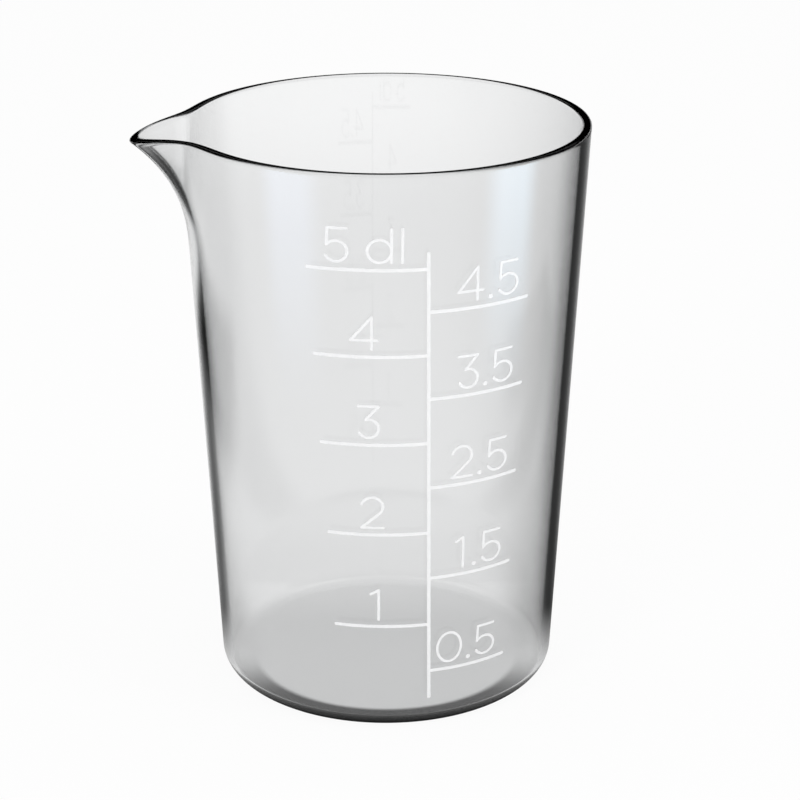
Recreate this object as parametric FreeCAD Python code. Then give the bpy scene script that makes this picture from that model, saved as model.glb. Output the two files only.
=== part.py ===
import FreeCAD, Part
import math
import os
from FreeCAD import Vector

# Measuring pitcher for baby formula: one clear moulding with a drawn-out pouring lip,
# and a measuring scale printed on its outside in 21 islands of ink.
# Millimetres, +Z up, origin at the centre of the face it stands on.
# The lip points along -X and the printed scale faces -Y.

# ---- moulding ----
height = 128.2            # foot to rim
rim_radius = 44.5         # outside, at the rim
foot_radius = 38.0        # outside, where the sides would meet the table
wall = 2.0                # thickness of the side wall, lip included
floor = 2.5               # thickness of the floor
foot_corner = 4.5         # outside rounding between side and floor
inner_corner = 1.2        # inside rounding between side and floor
rim_rounding = 0.6        # rounding of both rim edges

# ---- pouring lip ----
lip_reach = 11.15         # how far the tip stands out of the side
lip_depth = 29.3          # how far below the rim the side starts to draw out
lip_half_angle = 11.0     # degrees each side of the tip where the lip has faded to a third
lip_bluntness = 1.87      # 2 is a bell curve, more makes the tip blunter
lip_flare = 2.93          # 1 is a straight chute, more turns the tip out later
lip_droop = 2.2           # how far the rim dips at the tip
droop_start = 42.1        # distance from the axis where the rim starts to dip
join_slack = 0.002        # largest mismatch closed up where the drawn part meets the plain one

# ---- measuring scale ----
mark_volume = 50000.0     # mm3 from one line to the next: half a decilitre
mark_count = 10
film = 0.1                # thickness of the ink
line_stroke = 0.75        # width of the spine and of the lines
numeral_stroke = 0.58
numeral_height = 7.7
numeral_gap = 1.4         # middle of a line to the foot of its numeral
numeral_inset = 2.0       # right-hand numerals end this far short of the end of their line
left_share = 0.575        # left-hand numerals are centred this far along their line
top_share = 0.545         # the same for the top numeral, which the unit follows
spine_middle = 2.53       # distance of the spine from the middle of the print, half way up
spine_lean = 0.81         # degrees that the spine leans, foot outwards
spine_above = 3.4         # spine past the top line
spine_below = 6.6         # spine past the bottom line
left_line = 18.3          # length of a whole-decilitre line drawn at table height
right_line = 16.7         # length of a half-decilitre line drawn at table height
line_growth = 0.0523      # extra length for each millimetre of height
dot_radius = 0.5          # decimal point

os.makedirs("parts", exist_ok=True)
taper = (rim_radius - foot_radius) / height
lip_top = height - lip_droop            # height of the tip
lip_start = height - lip_depth
fade = math.radians(lip_half_angle)


# ---- the moulding's outside and inside, as formulas ----
def side_radius(z):
    """Outside radius of the plain tapered side."""
    return foot_radius + taper * z


def outer_radius(angle, z):
    """Outside radius at an angle from the lip, with the lip drawn out of the side."""
    rise = max(0.0, (z - lip_start) / (lip_top - lip_start))
    bell = math.exp(-abs(angle / fade) ** lip_bluntness)
    return side_radius(z) + lip_reach * rise ** lip_flare * bell


def slope(function, at, step=1e-4):
    return (function(at + step) - function(at - step)) / (2 * step)


def section_point(angle, z, inset):
    """Point of a level section, moved square to the wall by the inset."""
    radius = outer_radius(angle, z)
    around = slope(lambda a: outer_radius(a, z), angle)
    rising = slope(lambda h: outer_radius(angle, h), z)
    outward = Vector(math.cos(angle), math.sin(angle), 0)
    along = Vector(-math.sin(angle), math.cos(angle), 0)
    inward = (along * around - outward * radius).normalize()
    point = outward * radius + inward * inset * math.hypot(1, rising)
    return Vector(-point.x, -point.y, z)


def section_wire(z, inset):
    """Closed level section: a spline across the lip and an arc round the rest."""
    lip_edge = 3.6 * fade               # the bell has died away here
    steps = 28
    across = [-lip_edge + 2 * lip_edge * i / steps for i in range(steps + 1)]
    points = [section_point(a, z, inset) for a in across]
    tangent = Vector(0, 0, 1).cross(points[0]).normalize()
    end_tangent = Vector(0, 0, 1).cross(points[-1]).normalize()
    lip = Part.BSplineCurve()
    lip.interpolate(Points=points, InitialTangent=tangent, FinalTangent=end_tangent)
    back = section_point(math.pi, z, inset)
    rest = Part.Arc(points[-1], back, points[0])
    return Part.Wire([lip.toShape(), rest.toShape()])


def drawn_part(inset):
    """Top of the jug, filled, from where the lip starts up to the rim."""
    levels = 9
    heights = [lip_start + lip_depth * i / levels for i in range(levels + 1)]
    return Part.makeLoft([section_wire(z, inset) for z in heights], True, False)


def edges_at(shape, z):
    return [e for e in shape.Edges if abs(e.BoundBox.ZMax - z) < 1e-4 and e.BoundBox.ZLength < 1e-4]


def plain_part(bottom, inset, corner):
    """Lower part of the jug, filled, from a level up to where the lip starts."""
    side_inset = inset * math.hypot(1, taper)
    low = side_radius(bottom) - side_inset
    high = side_radius(lip_start) - side_inset
    cone = Part.makeCone(low, high, lip_start - bottom, Vector(0, 0, bottom))
    return cone.makeFillet(corner, edges_at(cone, bottom))


def droop_cutter():
    """Everything above the rim line, which dips along an arc towards the tip."""
    tip = outer_radius(0, lip_top)
    run = tip - droop_start
    bend = (run ** 2 + lip_droop ** 2) / (2 * lip_droop)
    reach = rim_radius + 2 * lip_reach
    over = height + lip_depth

    def on_arc(distance):
        return Vector(-distance, 0, height - bend + math.sqrt(bend ** 2 - (distance - droop_start) ** 2))

    end = on_arc(tip + lip_droop)
    arc = Part.Arc(on_arc(droop_start), on_arc(tip), end).toShape()
    corners = [end, Vector(-reach, 0, end.z), Vector(-reach, 0, over), Vector(reach, 0, over),
               Vector(reach, 0, height), Vector(-droop_start, 0, height)]
    sides = [Part.makeLine(a, b) for a, b in zip(corners, corners[1:])]
    profile = Part.Face(Part.Wire([arc] + sides))
    profile.translate(Vector(0, -reach, 0))
    return profile.extrude(Vector(0, 2 * reach, 0))


def rim_edges(body):
    """Both closed edges of the rim: the edges that only one of the rim's faces has."""
    faces = [f for f in body.Faces if f.BoundBox.ZMin > lip_top - wall]
    edges = [e for f in faces for e in f.Edges]
    return [e for e in edges if sum(e.isSame(other) for other in edges) == 1]


def filled_jug(bottom, inset, corner):
    """The whole jug, filled, as seen from a surface inset into its outside."""
    return plain_part(bottom, inset, corner).fuse([drawn_part(inset)], join_slack)


def jug_body(outside, cavity):
    open_jug = outside.cut(cavity).cut(droop_cutter())
    return open_jug.makeFillet(rim_rounding, rim_edges(open_jug))


# ---- heights of the lines: where the cavity holds the marked volume ----
def cavity_volume(level):
    """Volume from the floor up to a level: a cone's frustum less the rounded corner."""
    inset = wall * math.hypot(1, taper)
    low = side_radius(floor) - inset
    high = side_radius(level) - inset
    frustum = math.pi * (level - floor) * (low ** 2 + low * high + high ** 2) / 3
    corner_area = (1 - math.pi / 4) * inner_corner ** 2
    return frustum - corner_area * 2 * math.pi * (low - 0.22 * inner_corner)


def mark_level(number):
    """Height at which the jug holds that many half decilitres, by bisection."""
    low, high = floor, height
    for _ in range(40):
        middle = (low + high) / 2
        if cavity_volume(middle) < number * mark_volume:
            low = middle
        else:
            high = middle
    return (low + high) / 2


# ---- ink: flat artwork facing -Y, carried square onto the wall ----
def flat(x, z):
    return Vector(x, -rim_radius - wall, z)


def straight_stroke(start, end, width):
    """A pen stroke with round ends along one straight run."""
    a, b = flat(*start), flat(*end)
    along = (b - a).normalize() * (width / 2)
    across = Vector(0, 1, 0).cross(along)
    cap_a = Part.Arc(a + across, a - along, a - across).toShape()
    cap_b = Part.Arc(b - across, b + along, b + across).toShape()
    sides = [Part.makeLine(a - across, b - across), Part.makeLine(b + across, a + across)]
    return Part.Face(Part.Wire([cap_a, sides[0], cap_b, sides[1]]))


def stroke(points, width):
    """A pen stroke with round ends and corners along several straight runs."""
    runs = [Part.makeLine(flat(*a), flat(*b)) for a, b in zip(points, points[1:])]
    return Part.Wire(runs).makeOffset2D(width / 2, 0, True, False)


def curved_stroke(lead, centre, radius, start, end, tail, width):
    """A pen stroke of straight runs, then an arc (degrees, clockwise if end < start), then runs."""
    def on_circle(degrees):
        a = math.radians(degrees)
        return (centre[0] + radius * math.cos(a), centre[1] + radius * math.sin(a))

    first, middle, last = (on_circle(d) for d in (start, (start + end) / 2, end))
    before = lead + [first] if lead else []
    after = [last] + tail if tail else []
    runs = [Part.makeLine(flat(*a), flat(*b)) for a, b in zip(before, before[1:])]
    runs.append(Part.Arc(flat(*first), flat(*middle), flat(*last)).toShape())
    runs += [Part.makeLine(flat(*a), flat(*b)) for a, b in zip(after, after[1:])]
    return Part.Wire(runs).makeOffset2D(width / 2, 0, True, False)


def ring(centre, half_width, half_height, width):
    """A closed oval stroke, round or taller than it is wide."""
    def oval(grow):
        middle = flat(*centre)
        tip, flank = Vector(0, 0, half_height + grow), Vector(half_width + grow, 0, 0)
        if half_width == half_height:
            return disc(centre, half_width + grow)
        curve = Part.Ellipse(middle + tip, middle + flank, middle)
        return Part.Face(Part.Wire(curve.toShape()))
    return oval(width / 2).cut(oval(-width / 2))


def disc(centre, radius):
    return Part.Face(Part.Wire(Part.makeCircle(radius, flat(*centre), Vector(0, 1, 0))))


def numeral_strokes(character, x, z):
    """Strokes of one character with its left edge at x and its foot at z, and its width."""
    unit = numeral_height - numeral_stroke
    pen = numeral_stroke

    def at(u, v):
        return (x + u * unit, z + v * unit)

    if character == "0":
        return [ring(at(0.38, 0.5), 0.38 * unit, 0.5 * unit, pen)], 0.76
    if character == "1":
        return [stroke([at(0, 0.87), at(0.24, 1), at(0.24, 0)], pen)], 0.36
    if character == "2":
        return [curved_stroke([], at(0.31, 0.69), 0.31 * unit, 165, -48.4,
                              [at(0, 0), at(0.64, 0)], pen)], 0.64
    if character == "3":
        return [curved_stroke([at(0.02, 1), at(0.6, 1), at(0.23, 0.571)], at(0.32, 0.29),
                              0.29 * unit, 100, -155, [], pen)], 0.62
    if character == "4":
        return [straight_stroke(at(0.585, 0), at(0.585, 1), pen),
                stroke([at(0.585, 1), at(0, 0.28), at(0.76, 0.28)], pen)], 0.76
    if character == "5":
        return [curved_stroke([at(0.6, 1), at(0.08, 1)], at(0.31, 0.31), 0.31 * unit,
                              144, -152, [], pen)], 0.63
    if character == ".":
        return [disc(at(0.07, dot_radius / unit - pen / unit / 2), dot_radius)], 0.14
    if character == "d":
        return [ring(at(0.34, 0.34), 0.34 * unit, 0.34 * unit, pen),
                straight_stroke(at(0.68, 0), at(0.68, 1), pen)], 0.68
    if character == "l":
        return [straight_stroke(at(0.14, 0), at(0.14, 1), pen)], 0.14
    return [], 0.2                        # a space


def character_widths(text):
    """Widths of a text's characters, and the space between two of them."""
    unit = numeral_height - numeral_stroke
    return [numeral_strokes(c, 0, 0)[1] * unit for c in text], 0.17 * unit


def text_width(text):
    widths, space = character_widths(text)
    return sum(widths) + space * (len(text) - 1)


def numeral_faces(text, x, z):
    """The characters of a text, spaced out from its left edge at x."""
    widths, space = character_widths(text)
    faces = []
    for character, width in zip(text, widths):
        faces += numeral_strokes(character, x, z)[0]
        x += width + space
    return faces


def printing_side(shape):
    """The part of a shape that lies in front, where the print goes."""
    reach = rim_radius + lip_reach
    front = Part.makeBox(2 * reach, reach - foot_radius / 2, height, Vector(-reach, -reach, 0))
    return shape.common(front)


def printed(faces, without=None):
    """Ink on the wall under flat artwork: separate solids, less what lies under another ink."""
    prisms = [f.extrude(Vector(0, rim_radius + wall, 0)) for f in faces]
    artwork = prisms[0].fuse(prisms[1:]) if len(prisms) > 1 else prisms[0]
    if without:
        artwork = artwork.cut([f.extrude(Vector(0, rim_radius + wall, 0)) for f in without])
    ink = artwork.common(ink_layer)
    return Part.makeCompound(ink.removeSplitter().Solids)


def spine_x(z):
    return spine_middle - math.tan(math.radians(spine_lean)) * (z - (top_level + low_level) / 2)


outside = filled_jug(0, 0, foot_corner)
cavity = filled_jug(floor, wall, inner_corner)
ink_layer = printing_side(filled_jug(0, -film, foot_corner)).cut(printing_side(outside))

levels = [mark_level(n) for n in range(1, mark_count + 1)]
low_level = levels[0] - spine_below
top_level = levels[-1] + spine_above
spine_ends = [(spine_x(z), z) for z in (low_level, top_level)]
spine_face = straight_stroke(*spine_ends, line_stroke)

nodes = {"jug_body": jug_body(outside, cavity), "scale_spine": printed([spine_face])}
for number, level in enumerate(levels, start=1):
    whole = number % 2 == 0
    decilitres = number / 2
    side = -1 if whole else 1
    length = (left_line if whole else right_line) + line_growth * level
    start = spine_x(level)
    end = start + side * length
    text = ("%g dl" if number == mark_count else "%g") % decilitres
    if whole:
        share = top_share if number == mark_count else left_share
        left_edge = start - share * length - text_width(text) / 2
    else:
        left_edge = end - numeral_inset - numeral_stroke / 2 - text_width(text)
    foot = level + numeral_gap + numeral_stroke / 2
    name = ("%.1f" % decilitres).replace(".", "_")
    line = straight_stroke((start, level), (end, level), line_stroke)
    nodes["line_" + name] = printed([line], [spine_face])
    nodes["numeral_" + name] = printed(numeral_faces(text, left_edge, foot))
    held = cavity.common(Part.makeBox(4 * rim_radius, 4 * rim_radius, level,
                                      Vector(-2 * rim_radius, -2 * rim_radius, 0)))
    print("%-5s line at %6.2f mm, the cavity holds %5.1f ml there" % (text, level, held.Volume / 1000))

for name, shape in nodes.items():
    print("%-14s %d solid(s), valid %s, volume %.2f mm3" % (name, len(shape.Solids), shape.isValid(),
                                                           shape.Volume))
    shape.exportStep("parts/" + name + ".step")
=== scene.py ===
# %% [markdown]
# # A clear measuring pitcher
# The real object is one piece of smoke-grey clear plastic: a slightly tapered beaker
# with a rounded foot and a pouring lip, and a white measuring scale printed on it.
# It has no handle, no lid and nothing that moves. The construction model already holds
# the moulding and every island of print at real size. Here the moulding gets a smooth
# mesh, because clear plastic shows every facet, and both finishes get real materials.

# %% The frame: construction model and its size
import math

import bmesh
import bpy
from mathutils import Matrix, Vector


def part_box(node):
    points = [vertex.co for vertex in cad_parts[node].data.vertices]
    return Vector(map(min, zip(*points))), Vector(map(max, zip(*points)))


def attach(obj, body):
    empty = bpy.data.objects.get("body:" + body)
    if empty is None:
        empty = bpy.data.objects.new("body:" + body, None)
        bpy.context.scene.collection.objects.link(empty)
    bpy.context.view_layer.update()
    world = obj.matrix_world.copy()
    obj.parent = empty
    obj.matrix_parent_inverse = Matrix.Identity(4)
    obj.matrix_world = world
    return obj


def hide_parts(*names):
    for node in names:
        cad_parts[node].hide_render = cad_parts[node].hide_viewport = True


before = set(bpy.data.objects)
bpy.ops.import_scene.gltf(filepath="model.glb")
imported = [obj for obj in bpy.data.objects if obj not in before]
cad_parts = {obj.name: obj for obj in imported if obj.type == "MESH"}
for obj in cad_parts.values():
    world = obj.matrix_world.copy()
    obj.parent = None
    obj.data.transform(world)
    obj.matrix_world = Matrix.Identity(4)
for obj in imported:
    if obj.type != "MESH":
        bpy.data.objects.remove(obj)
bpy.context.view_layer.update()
mm = 0.001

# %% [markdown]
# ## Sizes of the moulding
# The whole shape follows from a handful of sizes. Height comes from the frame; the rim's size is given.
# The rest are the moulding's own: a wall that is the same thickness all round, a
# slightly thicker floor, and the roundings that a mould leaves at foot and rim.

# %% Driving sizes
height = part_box("jug_body")[1][2]
rim_radius = 44.5 * mm            # outside, at the rim
foot_radius = 38.0 * mm           # outside, where the sides would meet the table
wall = 2.0 * mm
floor = 2.5 * mm
foot_corner = 4.5 * mm
inner_corner = 1.2 * mm
rim_rounding = 0.6 * mm
taper = (rim_radius - foot_radius) / height
lean = math.atan(taper)           # the side leans out by this angle
wall_across = wall / math.cos(lean)
print("side leans out by %.2f degrees" % math.degrees(lean))

# %% [markdown]
# ## Sizes of the pouring lip
# A lip like this is not a separate spout. The wall itself is drawn out: not at all a
# quarter of the way down, and most at the rim, where the edge also dips towards the tip.
# Two curves describe it: a bell across the wall and a power curve up the wall.

# %% Lip sizes and the drawn-out radius
lip_reach = 11.15 * mm
lip_depth = 29.3 * mm
lip_fade = math.radians(11.0)     # half angle at which the bell has faded to a third
lip_bluntness = 1.87
lip_flare = 2.93
lip_droop = 2.2 * mm
droop_start = 42.1 * mm           # distance from the axis where the rim starts to dip
lip_start = height - lip_depth
lip_top = height - lip_droop


def side_radius(z):
    """Outside radius of the plain side at a height."""
    return foot_radius + taper * z


def outer_radius(angle, z):
    """Outside radius at an angle from the lip, with the lip drawn out."""
    rise = max(0.0, (z - lip_start) / (lip_top - lip_start))
    bell = math.exp(-abs(angle / lip_fade) ** lip_bluntness)
    return side_radius(z) + lip_reach * rise ** lip_flare * bell


print("tip of the lip is %.1f mm from the axis" % (outer_radius(0, lip_top) / mm))

# %% [markdown]
# ## The moulding, step 1: a turned beaker
# The plain beaker is turned, so it is made as on a lathe: half of its section is drawn
# as a closed line and spun round the axis. A spin gives even quads, which a primitive
# cone with a boolean hollow would not. Guard points beside the corners keep the flat
# floor and underside flat in the shading once the corners are rounded.

# %% Spin the section
turns = 288                       # steps round the axis


def section_points():
    """Half section from the underside's centre, out, over the rim and in to the floor."""
    guard = 1.0 * mm
    inner_foot = side_radius(floor) - wall_across
    inner_rim = side_radius(height) - wall_across
    return [(0, 0), (foot_radius - foot_corner - guard, 0), (foot_radius, 0), (rim_radius, height),
            (inner_rim, height), (inner_foot, floor), (inner_foot - inner_corner - guard, floor),
            (0, floor)]


def spin_section(points, steps):
    """A body of revolution from a line of (radius, height) points."""
    bm = bmesh.new()
    verts = [bm.verts.new((r, 0, z)) for r, z in points]
    edges = [bm.edges.new(pair) for pair in zip(verts, verts[1:])]
    bmesh.ops.spin(bm, geom=verts + edges, cent=(0, 0, 0), axis=(0, 0, 1), angle=2 * math.pi,
                   steps=steps, use_merge=True)
    bmesh.ops.remove_doubles(bm, verts=bm.verts, dist=0.001 * mm)
    bmesh.ops.recalc_face_normals(bm, faces=bm.faces)
    return bm


jug = spin_section(section_points(), turns)
print("turned beaker: %d faces" % len(jug.faces))

# %% [markdown]
# ## The moulding, step 2: rounded corners
# Each sharp corner of the section has become a ring of edges. A bevel rounds a ring into
# an arc. Its width is set so that the arc has the radius of the real corner, which
# depends on how far the surface turns there.

# %% Round the four rings


def ring(bm, radius, z):
    """The edges of the ring at that radius and height."""
    def on_it(v):
        return abs(math.hypot(v.co.x, v.co.y) - radius) < 0.01 * mm and abs(v.co.z - z) < 0.01 * mm
    return [e for e in bm.edges if all(on_it(v) for v in e.verts)]


def round_ring(bm, edges, radius, turn, segments):
    """Bevels a ring to an arc of that radius, where the surface turns by that angle."""
    bmesh.ops.bevel(bm, geom=edges, offset=radius * math.tan(turn / 2), offset_type="OFFSET",
                    affect="EDGES", segments=segments, profile=0.5, material=-1)


square = math.pi / 2
foot_segments, inner_segments, rim_segments = 14, 6, 5
inner_foot_radius = side_radius(floor) - wall_across
inner_rim_radius = rim_radius - wall_across
round_ring(jug, ring(jug, foot_radius, 0), foot_corner, square - lean, foot_segments)
round_ring(jug, ring(jug, inner_foot_radius, floor), inner_corner, square - lean, inner_segments)
round_ring(jug, ring(jug, rim_radius, height), rim_rounding, square + lean, rim_segments)
round_ring(jug, ring(jug, inner_rim_radius, height), rim_rounding, square - lean, rim_segments)
print("with rounded corners: %d faces" % len(jug.faces))

# %% [markdown]
# ## The moulding, step 3: rings up the wall
# The lip can only bend where there are points to move. Level cuts through the whole wall
# add rings of points, outside and inside at once: wide apart on the plain side, and close
# together where the lip is drawn out.

# %% Level cuts
plain_step = 4.0 * mm
lip_step = 0.9 * mm


def level_cuts(bm, low, high, step):
    """Cuts rings into the wall, evenly spaced between two heights."""
    count = round((high - low) / step)
    for i in range(count + 1):
        z = low + (high - low) * i / count
        bmesh.ops.bisect_plane(bm, geom=bm.verts[:] + bm.edges[:] + bm.faces[:], dist=0.002 * mm,
                               plane_co=(0, 0, z), plane_no=(0, 0, 1))


level_cuts(jug, foot_corner + 0.6 * mm, lip_start, plain_step)
level_cuts(jug, lip_start + lip_step, height - 2 * rim_rounding, lip_step)
print("with level cuts: %d faces" % len(jug.faces))

# %% [markdown]
# ## The moulding, step 4: draw out the lip
# Every point of the wall knows its angle from the lip, its height and how deep it lies
# in the wall. The outside surface is moved out by the two curves, and a point deeper in
# the wall follows square to that surface, so that the wall keeps its thickness even
# where it flares. The height is squeezed so that the rim ends on its dipping line.

# %% Draw out the lip


def slope(function, at, step=0.001):
    return (function(at + step) - function(at - step)) / (2 * step)


def wall_point(angle, z, depth):
    """Point in the wall at an angle from the lip, that deep under the outside surface."""
    radius = outer_radius(angle, z)
    around = slope(lambda a: outer_radius(a, z), angle)
    rising = slope(lambda h: outer_radius(angle, h), z, step=0.01 * mm)
    outward = Vector((-math.cos(angle), -math.sin(angle), 0))
    along = Vector((math.sin(angle), -math.cos(angle), 0))
    inward = (along * around - outward * radius).normalized()
    point = outward * radius + inward * depth * math.hypot(1, rising)
    point.z = z
    return point


def rim_height(distance):
    """Height of the rim's edge at a distance from the axis, measured along the lip."""
    run = outer_radius(0, lip_top) - droop_start
    bend = (run ** 2 + lip_droop ** 2) / (2 * lip_droop)
    past = max(0.0, distance - droop_start)
    return height - bend + math.sqrt(bend ** 2 - past ** 2)


def draw_out(co):
    """Where a point of the plain wall ends up once the lip is drawn."""
    angle = math.atan2(-co.y, -co.x)
    depth = (side_radius(co.z) - math.hypot(co.x, co.y)) * math.cos(lean)
    share = (co.z - lip_start) / (height - lip_start)
    point = co
    for _ in range(6):
        z = lip_start + share * (rim_height(-point.x) - lip_start)
        point = wall_point(angle, z, depth)
    return point


for vert in jug.verts:
    if vert.co.z > lip_start + 0.01 * mm:
        vert.co = draw_out(vert.co)
bmesh.ops.recalc_face_normals(jug, faces=jug.faces)
print("tip now at x = %.2f mm" % (min(v.co.x for v in jug.verts) / mm))

# %% Hand the mesh over as the moulding


def piece_from(bm, name):
    """A smooth-shaded object at the origin from a bmesh."""
    mesh = bpy.data.meshes.new(name)
    bm.to_mesh(mesh)
    bm.free()
    mesh.shade_smooth()
    piece = bpy.data.objects.new(name, mesh)
    bpy.context.scene.collection.objects.link(piece)
    return piece


moulding = piece_from(jug, "moulding")
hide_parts("jug_body")
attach(moulding, "root")
print("moulding: %d triangles" % sum(len(p.vertices) - 2 for p in moulding.data.polygons))

# %% [markdown]
# ## Shader maths
# Materials are sums of patterns. A small class wraps a node's output, so that a sum in
# Python adds the matching Math nodes, and one method makes any other node.

# %% A socket that takes part in sums


class Shade:
    """A node's output, with Python's operators adding Math nodes."""

    def __init__(self, tree, socket):
        self.tree = tree
        self.socket = socket

    def node(self, kind, settings=None, sockets=None, output=0):
        """Adds any node: its type, its settings, and values or links for its sockets."""
        new = self.tree.nodes.new(kind)
        for name, value in (settings or {}).items():
            setattr(new, name, value)
        for name, value in (sockets or {}).items():
            if isinstance(value, Shade):
                self.tree.links.new(value.socket, new.inputs[name])
            else:
                new.inputs[name].default_value = value
        return Shade(self.tree, new.outputs[output] if new.outputs else None)

    def math(self, operation, first, second):
        return self.node("ShaderNodeMath", {"operation": operation}, {0: first, 1: second})

    def __add__(self, other):
        return self.math("ADD", self, other)

    __radd__ = __add__

    def __mul__(self, other):
        return self.math("MULTIPLY", self, other)

    __rmul__ = __mul__

    def __sub__(self, other):
        return self.math("SUBTRACT", self, other)

    def __rsub__(self, other):
        return self.math("SUBTRACT", other, self)

    def __pow__(self, other):
        return self.math("POWER", self, other)


def new_material(name):
    """An empty node material, and the start of its sums: the object's own coordinates."""
    material = bpy.data.materials.new(name)
    material.use_nodes = True
    material.node_tree.nodes.clear()
    start = Shade(material.node_tree, None)
    place = start.node("ShaderNodeTexCoord", output="Object")
    return material, place


def surface_and_volume(material, place, surface, volume=None):
    """Links the finished shaders to the material's output."""
    sockets = {"Surface": surface}
    if volume:
        sockets["Volume"] = volume
    place.node("ShaderNodeOutputMaterial", sockets=sockets)
    return material


print("shader maths ready")

# %% [markdown]
# ## Clear smoke-grey plastic
# The tint is in the plastic, not on it: thin wall looks pale, and the edges, where the
# eye looks along the wall, look dark. So the surface is clear and the colour is
# absorption in the volume. The surface of a moulding is not perfect either: the melt
# leaves very shallow waves, and handling leaves faint smears that dull the gloss.

# %% The plastic


def clear_plastic():
    material, place = new_material("smoke_plastic")
    flow = place.node("ShaderNodeMapping", sockets={"Vector": place, "Scale": (1.0, 1.0, 0.35)})
    waves = place.node("ShaderNodeTexNoise", sockets={"Vector": flow, "Scale": 60.0, "Detail": 2.0})
    smears = place.node("ShaderNodeTexNoise", sockets={"Vector": flow, "Scale": 140.0, "Detail": 4.0})
    bump = place.node("ShaderNodeBump", sockets={"Strength": 0.12, "Distance": 0.02 * mm,
                                                 "Height": waves})
    roughness = 0.008 + 0.03 * smears ** 3.0
    surface = place.node("ShaderNodeBsdfPrincipled", sockets={
        "Base Color": (1.0, 1.0, 1.0, 1.0), "Roughness": roughness, "IOR": 1.52,
        "Transmission Weight": 1.0, "Normal": bump})
    volume = place.node("ShaderNodeVolumeAbsorption", sockets={
        "Color": (0.50, 0.52, 0.53, 1.0), "Density": 85.0})
    return surface_and_volume(material, place, surface, volume)


moulding.data.materials.append(clear_plastic())
print("plastic on", moulding.name)

# %% [markdown]
# ## White printing ink
# Pad-printed ink is an opaque matt film. It is not dead flat: the film is a little
# thinner here and there, which shows as a faint mottle in colour and sheen.

# %% The ink


def printing_ink():
    material, place = new_material("white_ink")
    mottle = place.node("ShaderNodeTexNoise", sockets={"Vector": place, "Scale": 900.0, "Detail": 3.0})
    grain = place.node("ShaderNodeTexNoise", sockets={"Vector": place, "Scale": 5000.0, "Detail": 2.0})
    colour = place.node("ShaderNodeMix", {"data_type": "RGBA"}, {
        "Factor": mottle, 6: (0.86, 0.87, 0.88, 1.0), 7: (0.96, 0.96, 0.96, 1.0)}, output=2)
    bump = place.node("ShaderNodeBump", sockets={"Strength": 0.3, "Distance": 0.01 * mm,
                                                 "Height": grain})
    surface = place.node("ShaderNodeBsdfPrincipled", sockets={
        "Base Color": colour, "Roughness": 0.45 + 0.2 * mottle, "Normal": bump})
    return surface_and_volume(material, place, surface)


ink = printing_ink()
printed = [node for name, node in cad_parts.items() if name != "jug_body"]
for node in printed:
    node.data.materials.clear()
    node.data.materials.append(ink)
print("ink on %d printed nodes" % len(printed))

# %% [markdown]
# ## Camera
# The view is the one an eye has of a jug on a table: from about half a metre and a
# little above, with the scale in front and the lip to the left.

# %% The camera
view_distance = 490.6 * mm        # along the table
view_height = 253.1 * mm
view_turn = math.radians(9.05)    # how far the view stands round from the scale, towards the lip
aim_right = math.radians(0.368)
aim_down = math.radians(21.152)
tilt = math.radians(0.022)

camera_data = bpy.data.cameras.new("camera")
camera_data.sensor_width = 36.0
camera_data.lens = 104.82
camera_data.clip_start = 10 * mm
camera = bpy.data.objects.new("camera", camera_data)
bpy.context.scene.collection.objects.link(camera)
eye = Vector((-view_distance * math.sin(view_turn), -view_distance * math.cos(view_turn), view_height))
camera.matrix_world = (Matrix.Translation(eye) @ Matrix.Rotation(-view_turn - aim_right, 4, "Z")
                       @ Matrix.Rotation(square - aim_down, 4, "X") @ Matrix.Rotation(tilt, 4, "Z"))
bpy.context.scene.camera = camera
print("camera at", [round(c / mm) for c in eye], "mm")

# %% [markdown]
# ## Floor and surroundings
# Clear plastic is seen only by what it bends and reflects, so the surroundings matter as
# much as the material. A white table behind the jug keeps its middle bright. Its edges
# bend the eye's rays sideways and show what lies beside the jug, so two long soft shadows
# are painted on the table there, a small painted shade to the left darkens the curve under
# the lip, and painted shade darkens the table where the rounded foot meets it and around
# the jug. All of this shows only through the plastic and in its gloss.

# %% Light painted on the table
floor_radius = 4.0
floor_gap = 0.05 * mm             # keeps the floor from touching the underside
darkness = {"left": 0.85, "right": 0.96, "lip": 0.92, "contact": 0.95,
            "under": 0.15, "back": 0.06, "near": 0.08}    # how much light each shade takes


def smooth_step(value, low, high):
    """Rises smoothly from 0 at one value to 1 at another."""
    return value.node("ShaderNodeMapRange", {"interpolation_type": "SMOOTHSTEP"},
                      {"Value": value, "From Min": low, "From Max": high})


def between(value, low, high, soft):
    """1 between two values, and 0 outside them, with soft borders outside."""
    return smooth_step(value, low - soft, low) * (1.0 - smooth_step(value, high, high + soft))


def long_shadow(x, y, start, heading, width, spread, length):
    """A soft strip on the table that starts beside the jug and widens as it runs away."""
    along = (x - start) * math.sin(heading) + y * math.cos(heading)
    across = (x - start) * math.cos(heading) - y * math.sin(heading)
    half = width + spread * along.math("MAXIMUM", along, 0.0)
    off_line = across.math("ABSOLUTE", across, 0.0)
    off_line = off_line.math("DIVIDE", off_line, half)
    bell = off_line.math("POWER", math.exp(-1), off_line ** 3.0)
    return bell * between(along, 25 * mm, length, 40 * mm)


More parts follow.
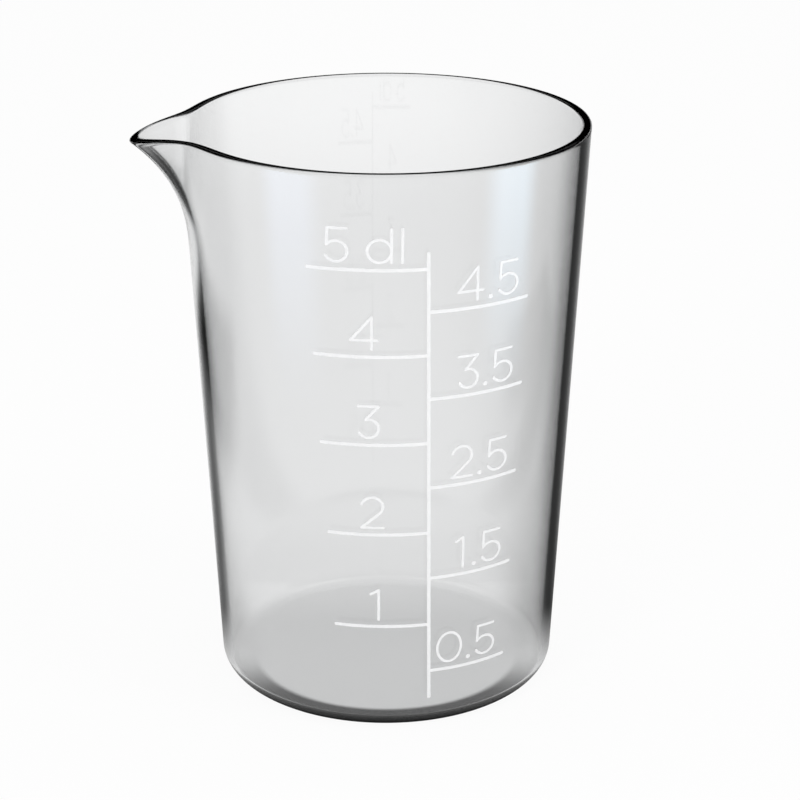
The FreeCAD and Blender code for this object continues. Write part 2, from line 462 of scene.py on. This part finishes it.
def table_seen(place):
    """How bright the table looks to rays that come from the plastic: white with painted shadows and
    shade.
    """
    turned = place.node("ShaderNodeMapping", sockets={"Vector": place, "Rotation": (0, 0, view_turn)})
    x = turned.node("ShaderNodeSeparateXYZ", sockets={"Vector": turned}, output="X")
    y = turned.node("ShaderNodeSeparateXYZ", sockets={"Vector": turned}, output="Y")
    distance = turned.node("ShaderNodeVectorMath", {"operation": "LENGTH"}, {0: turned}, output="Value")
    front = 1.0 - smooth_step(y, -24 * mm, -2 * mm)
    ring_inside = smooth_step(distance, 29.5 * mm, 31.5 * mm)
    ring_outside = 1.0 - smooth_step(distance, 36 * mm, 40 * mm)
    close = 1.0 - smooth_step(distance, 35 * mm, 60 * mm)
    not_behind = 1.0 - smooth_step(y, 10 * mm, 36 * mm)
    shades = {
        "left": long_shadow(x, y, -39 * mm, math.radians(-32), 8 * mm, 0.20, 0.21),
        "right": long_shadow(x, y, 38 * mm, math.radians(37), 10 * mm, 0.48, 1.0),
        "lip": between(x, -0.22, -0.16, 0.05) * between(y, 0.05, 0.2, 0.05),
        "contact": front * ring_inside * ring_outside,
        "under": close * not_behind,
        "back": smooth_step(y, 36 * mm, 40 * mm) * (1.0 - smooth_step(y, 45 * mm, 85 * mm)),
        "near": 1.0 - smooth_step(distance, 0.33, 0.55)}
    brightness = 1.0
    for name, shade in shades.items():
        brightness = brightness * (1.0 - darkness[name] * shade)
    return brightness


print("table pattern ready")

# %% Stage paint


def ray(place, kind):
    return place.node("ShaderNodeLightPath", output=kind)


def plastic_rays(place):
    """1 for rays that left the plastic, mirrored or bent."""
    both = ray(place, "Is Glossy Ray") + ray(place, "Is Transmission Ray")
    return both.math("MINIMUM", both, 1.0)


def glow(place, brightness):
    """An emission whose grey is that brightness."""
    grey = place.node("ShaderNodeCombineColor",
                      sockets={"Red": brightness, "Green": brightness, "Blue": brightness})
    return place.node("ShaderNodeEmission", sockets={"Color": grey, "Strength": 1.0})


def table_paint():
    """Matt white paint that looks white to the eye, and shows painted shadows and shade to the plastic's
    rays.
    """
    white_share = 0.94                # the rest is real paint, which keeps the jug's shadow
    material, place = new_material("table_paint")
    paint = place.node("ShaderNodeBsdfDiffuse", sockets={"Color": (0.85, 0.85, 0.85, 1.0)})
    # rays from the plastic see the painted shadows and shade instead of the paint
    paint_or_painted_shades = place.node("ShaderNodeMixShader", sockets={
        "Fac": plastic_rays(place), 1: paint, 2: glow(place, table_seen(place))})
    surface = place.node("ShaderNodeMixShader", sockets={
        "Fac": white_share * ray(place, "Is Camera Ray"), 1: paint_or_painted_shades, 2: glow(place, 1.0)})
    return surface_and_volume(material, place, surface)


bm = bmesh.new()
bmesh.ops.create_circle(bm, cap_ends=True, segments=64, radius=floor_radius)
bmesh.ops.translate(bm, vec=(0, 0, -floor_gap), verts=bm.verts)
ground = piece_from(bm, "ground")
ground.data.materials.append(table_paint())
print("floor laid")

# %% [markdown]
# ## Light
# Two small upright glowing panels, close on either side and low enough to mirror in the
# leaning wall, give its two soft upright highlights. They show in gloss alone. Three
# soft boxes light the print, and the room is white with dark walls, which draw the
# rim and the foot with dark lines.

# %% Highlight panels


def highlight_panel(name, azimuth, half_width, strength, colour):
    """A glowing upright panel beside the jug, soft at the sides and fading towards the table."""
    panel_distance = 0.09
    panel_height = 0.115
    panel_fade = (0.045, panel_height)
    facing = -view_turn - azimuth
    bm = bmesh.new()
    bmesh.ops.create_grid(bm, x_segments=1, y_segments=1, size=0.5)
    bmesh.ops.scale(bm, vec=(2 * half_width, panel_height, 1), verts=bm.verts)
    bmesh.ops.rotate(bm, matrix=Matrix.Rotation(square, 3, "X"), verts=bm.verts)
    bmesh.ops.translate(bm, vec=(0, panel_distance, panel_height / 2), verts=bm.verts)
    bmesh.ops.rotate(bm, matrix=Matrix.Rotation(facing, 3, "Z"), verts=bm.verts)
    panel = piece_from(bm, name)
    material, place = new_material(name + "_glow")
    turned = place.node("ShaderNodeMapping", sockets={"Vector": place, "Rotation": (0, 0, -facing)})
    x = turned.node("ShaderNodeSeparateXYZ", sockets={"Vector": turned}, output="X")
    z = turned.node("ShaderNodeSeparateXYZ", sockets={"Vector": turned}, output="Z")
    off_middle = x.math("ABSOLUTE", x, 0.0)
    mask = (1.0 - smooth_step(off_middle, 0.25 * half_width, half_width)) * smooth_step(z, *panel_fade)
    clear = place.node("ShaderNodeBsdfTransparent")
    lit = place.node("ShaderNodeEmission", sockets={"Color": (*colour, 1.0), "Strength": strength})
    surface = place.node("ShaderNodeMixShader", sockets={"Fac": mask, 1: clear, 2: lit})
    panel.data.materials.append(surface_and_volume(material, place, surface))
    panel.visible_camera = panel.visible_diffuse = False
    panel.visible_shadow = panel.visible_transmission = False


highlight_panel("right_panel", math.radians(122), 0.028, 5.2, (0.65, 0.84, 1.0))
highlight_panel("left_panel", math.radians(-138), 0.028, 3.4, (0.68, 0.78, 1.0))
print("highlight panels up")

# %% Soft boxes


def soft_box(name, width, tall, place, target, power):
    """A rectangular area lamp aimed at a point, out of the eye's sight."""
    lamp = bpy.data.lights.new(name, "AREA")
    lamp.shape = "RECTANGLE"
    lamp.size = width
    lamp.size_y = tall
    lamp.energy = power
    box = bpy.data.objects.new(name, lamp)
    box.location = place
    box.rotation_euler = (Vector(target) - Vector(place)).to_track_quat("-Z", "Y").to_euler()
    box.visible_camera = box.visible_glossy = box.visible_transmission = False
    bpy.context.scene.collection.objects.link(box)


middle = (0, 0, height / 2)
soft_box("left_box", 0.3, 0.5, (-0.75, -0.8, 0.55), middle, 4.0)
soft_box("right_box", 0.3, 0.5, (0.75, -0.5, 0.55), middle, 2.6)
soft_box("top_box", 1.2, 1.2, (0, -0.2, 1.4), middle, 3.0)
print("soft boxes up")

# %% The room
world = bpy.data.worlds.new("studio")
world.use_nodes = True
bpy.context.scene.world = world
world.node_tree.nodes.clear()
air = Shade(world.node_tree, None)
direction = air.node("ShaderNodeTexCoord", output="Generated")
turned = direction.node("ShaderNodeMapping", sockets={"Vector": direction, "Rotation": (0, 0, view_turn)})
rise = turned.node("ShaderNodeSeparateXYZ", sockets={"Vector": turned}, output="Z")
away = turned.node("ShaderNodeSeparateXYZ", sockets={"Vector": turned}, output="Y")
wall_foot, wall_top, paler_from, paler_above = (math.sin(math.radians(a)) for a in (9, 50, 22, 28))
walls = between(rise, wall_foot, wall_top, 0.08)
behind = smooth_step(away, 0.5, 0.85) * smooth_step(rise, paler_from, paler_above)
walls = walls * (1.0 - 0.4 * behind)
room_glow = 0.6                   # how much of the room's white lights the jug
seen = room_glow - plastic_rays(air) * walls * room_glow
level = seen + ray(air, "Is Camera Ray") * (1.0 - room_glow)
backdrop = air.node("ShaderNodeBackground", sockets={"Color": (1.0, 1.0, 1.0, 1.0), "Strength": level})
air.node("ShaderNodeOutputWorld", sockets={"Surface": backdrop})
print("room set")

# %% Colour as written
bpy.context.scene.view_settings.view_transform = "Standard"
